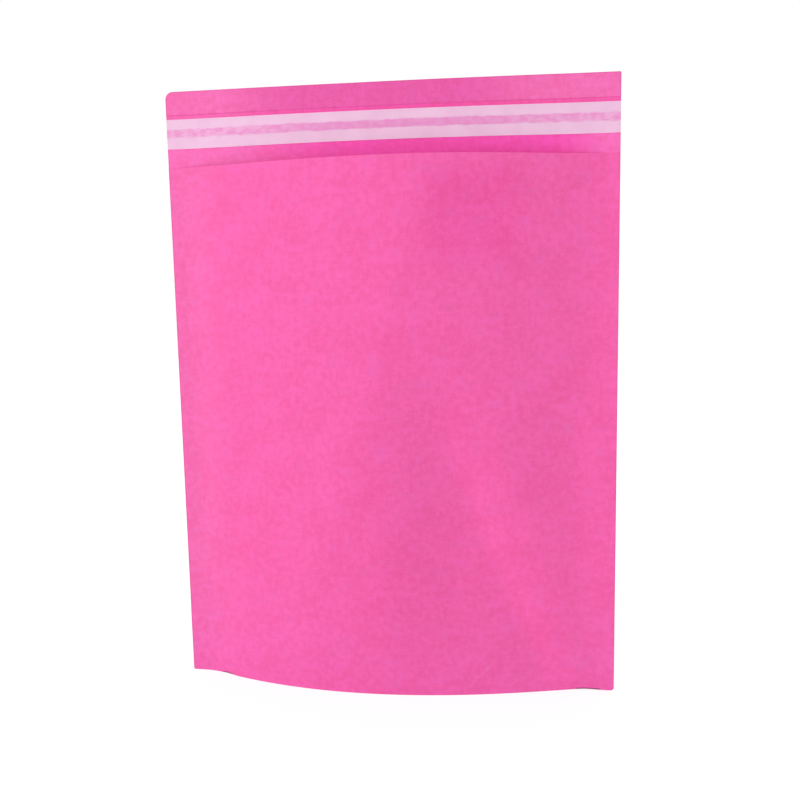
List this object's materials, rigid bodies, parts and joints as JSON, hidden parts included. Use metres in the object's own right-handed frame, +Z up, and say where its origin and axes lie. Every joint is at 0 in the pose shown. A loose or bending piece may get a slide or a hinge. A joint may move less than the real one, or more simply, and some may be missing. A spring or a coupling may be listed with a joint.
{
  "type": "paper mailer",
  "caption": "Gusseted kraft-paper mailer standing open, with a flap and a peel-off sealing strip.",
  "frame": {"origin": "on the floor, under the middle of the bag's bounding box", "axes": "+Z up along the bag's height, +Y towards the back panel and the flap, +X to the right seen from the front"},
  "size_m": [0.2942, 0.0528, 0.4],
  "materials": {
    "kraft_paper": "matt, fibrous",
    "adhesive": "tacky film",
    "liner_film": "smooth, translucent"
  },
  "bodies": {
    "root": {"paper_bag": "kraft_paper", "adhesive_strip": "adhesive", "release_liner": "liner_film"}
  },
  "joints": []
}
